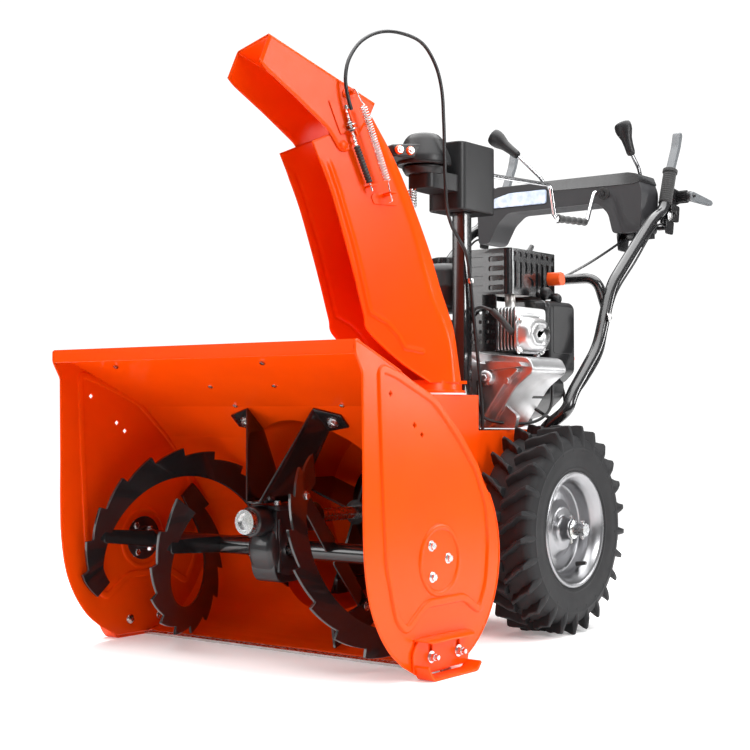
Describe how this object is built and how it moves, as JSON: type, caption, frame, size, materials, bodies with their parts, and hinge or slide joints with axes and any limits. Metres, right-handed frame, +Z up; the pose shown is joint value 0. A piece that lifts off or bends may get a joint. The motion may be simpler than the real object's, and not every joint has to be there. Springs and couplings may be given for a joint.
{
  "type": "two stage snowblower",
  "caption": "Walk-behind two stage snowblower: ribbon augers in a sheet housing, impeller, turning chute with deflector, engine, pneumatic wheels and handlebar console.",
  "frame": {"origin": "centre of the bounding box in X and Y, on the ground plane", "axes": "+Z up, -Y is the working direction of travel, +X is the operator's left"},
  "size_m": [0.78, 1.474, 1.1675],
  "materials": {
    "orange_paint": "gloss powder coat",
    "black_paint": "satin powder coat",
    "zinc": "bright zinc plate",
    "cast_black": "painted casting",
    "cast_aluminium": "as cast",
    "black_plastic": "fine moulded grain",
    "grey_plastic": "fine moulded grain",
    "lever_grey": "satin",
    "soft_rubber": "matt",
    "tyre_rubber": "matt",
    "silver_paint": "satin silver",
    "bronze": "machined",
    "white_nylon": "smooth",
    "orange_plastic": "smooth",
    "lens": "clear"
  },
  "bodies": {
    "chassis": {"housing_wrap": "orange_paint", "side_plate_left": "orange_paint", "side_plate_right": "orange_paint", "impeller_drum": "orange_paint", "scraper_bar": "zinc", "housing_bolts": "zinc", "gear_case": "cast_black", "gear_case_cap": "zinc", "support_bracket": "black_paint", "auger_bearings": "zinc", "slip_ring": "white_nylon", "gear_head_base": "grey_plastic", "chute_post": "black_paint", "traction_frame": "orange_paint", "belt_cover": "black_plastic", "drive_belt": "soft_rubber", "crankcase": "cast_aluminium", "cylinder_head": "cast_aluminium", "valve_cover": "cast_aluminium", "muffler": "zinc", "muffler_guard": "black_paint", "blower_housing": "black_plastic", "fuel_tank": "black_plastic", "handlebar_left": "black_paint", "handlebar_right": "black_paint", "cross_brace": "black_paint", "console": "grey_plastic", "headlight_lens": "lens", "control_cables": "soft_rubber"},
    "augers": {"auger_left": "black_paint", "auger_right": "black_paint", "auger_shaft": "zinc", "worm_gear": "bronze"},
    "impeller_rotor": {"impeller": "black_paint", "impeller_shaft": "zinc", "impeller_pulley": "zinc"},
    "left_wheel": {"tyre_left": "tyre_rubber", "rim_left": "silver_paint", "axle": "zinc"},
    "right_wheel": {"tyre_right": "tyre_rubber", "rim_right": "silver_paint"},
    "left_shoe": {"skid_shoe_left": "orange_paint"},
    "right_shoe": {"skid_shoe_right": "orange_paint"},
    "chute_body": {"chute": "orange_paint", "gear_head_cover": "grey_plastic", "deflector_spring": "zinc", "deflector_cable": "soft_rubber"},
    "deflector": {"deflector_cap": "orange_paint", "cable_end_fitting": "black_paint"},
    "crank": {"crank_rod": "zinc"},
    "grip": {"crank_grip": "soft_rubber"},
    "speed_control": {"speed_lever": "black_plastic"},
    "deflector_control": {"deflector_lever": "black_plastic"},
    "left_clutch": {"clutch_lever_left": "lever_grey"},
    "right_clutch": {"clutch_lever_right": "lever_grey"},
    "thumb_control": {"thumb_lever": "lever_grey"},
    "recoil_grip": {"recoil_handle": "black_plastic"},
    "primer": {"primer_bulb": "orange_plastic"},
    "choke": {"choke_knob": "black_plastic"},
    "tank_cap": {"fuel_cap": "black_plastic"}
  },
  "joints": [
    {"name": "auger_spin", "type": "hinge", "parent": "chassis", "child": "augers", "pos_m": [0, -0.51, 0.19], "axis": [1, 0, 0], "continuous": true},
    {"name": "impeller_spin", "type": "hinge", "parent": "chassis", "child": "impeller_rotor", "pos_m": [0, -0.237, 0.242], "axis": [0, 1, 0], "continuous": true},
    {"name": "left_wheel_spin", "type": "hinge", "parent": "chassis", "child": "left_wheel", "pos_m": [0.272, 0.005, 0.206], "axis": [1, 0, 0], "continuous": true},
    {"name": "right_wheel_spin", "type": "hinge", "parent": "chassis", "child": "right_wheel", "pos_m": [-0.272, 0.005, 0.206], "axis": [1, 0, 0], "continuous": true},
    {"name": "left_shoe_slide", "type": "slide", "parent": "chassis", "child": "left_shoe", "axis": [0, 0, -1], "range_m": [0, 0.018]},
    {"name": "right_shoe_slide", "type": "slide", "parent": "chassis", "child": "right_shoe", "axis": [0, 0, -1], "range_m": [0, 0.018]},
    {"name": "chute_swivel", "type": "hinge", "parent": "chassis", "child": "chute_body", "pos_m": [0.112, -0.207, 0.474], "axis": [0, 0, 1], "range_deg": [-65, 115]},
    {"name": "crank_turn", "type": "hinge", "parent": "chassis", "child": "crank", "pos_m": [0.128, -0.021, 0.925], "axis": [0, 0.9991, 0.0422], "range_deg": [-704, 1244]},
    {"name": "grip_spin", "type": "hinge", "parent": "crank", "child": "grip", "pos_m": [0.128, 0.34272, 0.86831], "axis": [0, 0.9991, 0.0422], "continuous": true},
    {"name": "deflector_tilt", "type": "hinge", "parent": "chute_body", "child": "deflector", "pos_m": [0.02156, -0.40095, 0.929], "axis": [0.9063, -0.4226, 0], "range_deg": [0, 50], "deforming": ["deflector_spring"]},
    {"name": "deflector_handle_tilt", "type": "hinge", "parent": "chassis", "child": "deflector_control", "pos_m": [-0.06, 0.553, 0.955], "axis": [1, 0, 0], "range_deg": [-31, 1]},
    {"name": "speed_tilt", "type": "hinge", "parent": "chassis", "child": "speed_control", "pos_m": [0.198, 0.553, 0.955], "axis": [1, 0, 0], "range_deg": [-35, 10]},
    {"name": "left_clutch_squeeze", "type": "hinge", "parent": "chassis", "child": "left_clutch", "pos_m": [0.236, 0.599, 0.908], "axis": [1, 0, 0], "range_deg": [0, 10], "stiffness_Nm_per_rad": 2, "springref_deg": -11.46},
    {"name": "right_clutch_squeeze", "type": "hinge", "parent": "chassis", "child": "right_clutch", "pos_m": [-0.236, 0.599, 0.908], "axis": [1, 0, 0], "range_deg": [0, 10], "stiffness_Nm_per_rad": 2, "springref_deg": -11.46},
    {"name": "thumb_squeeze", "type": "hinge", "parent": "chassis", "child": "thumb_control", "pos_m": [0.279, 0.625, 0.942], "axis": [1, 0, 0], "range_deg": [0, 15], "stiffness_Nm_per_rad": 1, "springref_deg": -14.32},
    {"name": "recoil_pull", "type": "slide", "parent": "chassis", "child": "recoil_grip", "axis": [0, 1, 0], "range_m": [0, 0.6], "stiffness_N_per_m": 15, "springref_m": -0.5},
    {"name": "primer_press", "type": "slide", "parent": "chassis", "child": "primer", "axis": [0, -1, 0], "range_m": [0, 0.006], "stiffness_N_per_m": 600, "springref_m": -0.003},
    {"name": "choke_turn", "type": "hinge", "parent": "chassis", "child": "choke", "pos_m": [0.19, 0.125, 0.68], "axis": [0, 0, 1], "range_deg": [0, 90]},
    {"name": "tank_cap_turn", "type": "hinge", "parent": "chassis", "child": "tank_cap", "pos_m": [-0.06, 0.113, 0.767], "axis": [0, 0, 1], "range_deg": [0, 90]}
  ],
  "couplings": [
    {"joint": "impeller_spin", "follows": "auger_spin", "ratio": 10},
    {"joint": "crank_turn", "follows": "chute_swivel", "ratio": 10.8},
    {"joint": "deflector_handle_tilt", "follows": "deflector_tilt", "ratio": -0.6}
  ]
}
